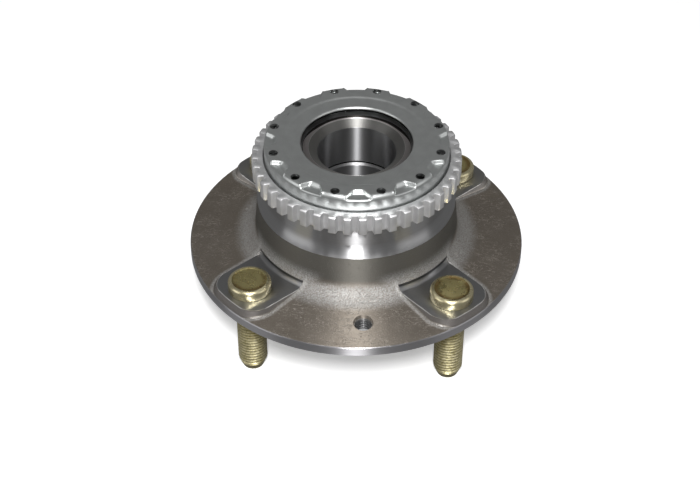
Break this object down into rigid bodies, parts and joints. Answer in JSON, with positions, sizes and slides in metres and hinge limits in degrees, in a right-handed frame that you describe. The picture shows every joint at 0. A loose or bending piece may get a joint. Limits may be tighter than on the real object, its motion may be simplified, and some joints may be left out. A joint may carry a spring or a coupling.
{
  "type": "wheel hub bearing",
  "caption": "Rear wheel hub bearing: a flanged hub with wheel studs and a tone ring turns on two rows of balls around fixed inner rings.",
  "frame": {"origin": "on the axis of rotation, in the flange face that the brake disc seats on", "axes": "+Z along the axis of rotation, inboard to the suspension; the studs are at 45, 135, 225 and 315 degrees from +X"},
  "size_m": [0.139, 0.139, 0.0875],
  "materials": {
    "forged_steel": "forged, turned and ground",
    "sintered_steel": "matte sintered",
    "zinc_plate": "satin zinc plate",
    "spring_steel": "tempered",
    "yellow_zinc": "yellow zinc plate",
    "bearing_steel": "ground and honed",
    "pressed_steel": "cold rolled",
    "cage_polyamide": "moulded, glass filled",
    "nitrile_rubber": "matte"
  },
  "bodies": {
    "inner_rings": {"inner_ring_inboard": "bearing_steel", "inner_ring_outboard": "bearing_steel", "inner_ring_clip": "spring_steel", "slinger_inboard": "pressed_steel", "slinger_outboard": "pressed_steel"},
    "hub": {"hub": "forged_steel", "wheel_stud_1": "yellow_zinc", "wheel_stud_2": "yellow_zinc", "wheel_stud_3": "yellow_zinc", "wheel_stud_4": "yellow_zinc", "tone_ring": "sintered_steel", "cover_plate": "zinc_plate", "seal_case_inboard": "pressed_steel", "seal_case_outboard": "pressed_steel", "seal_lip_inboard": "nitrile_rubber", "seal_lip_outboard": "nitrile_rubber"},
    "ball_row_inboard": {"balls_inboard": "bearing_steel", "cage_inboard": "cage_polyamide"},
    "ball_row_outboard": {"balls_outboard": "bearing_steel", "cage_outboard": "cage_polyamide"}
  },
  "joints": [
    {"name": "hub_spin", "type": "hinge", "parent": "inner_rings", "child": "hub", "pos_m": [0, 0, 0.0293], "axis": [0, 0, 1], "continuous": true},
    {"name": "ball_row_inboard_spin", "type": "hinge", "parent": "inner_rings", "child": "ball_row_inboard", "pos_m": [0, 0, 0.0389], "axis": [0, 0, 1], "continuous": true},
    {"name": "ball_row_outboard_spin", "type": "hinge", "parent": "inner_rings", "child": "ball_row_outboard", "pos_m": [0, 0, 0.0197], "axis": [0, 0, 1], "continuous": true}
  ],
  "couplings": [
    {"joint": "ball_row_inboard_spin", "follows": "hub_spin", "ratio": 0.591},
    {"joint": "ball_row_outboard_spin", "follows": "hub_spin", "ratio": 0.591}
  ]
}
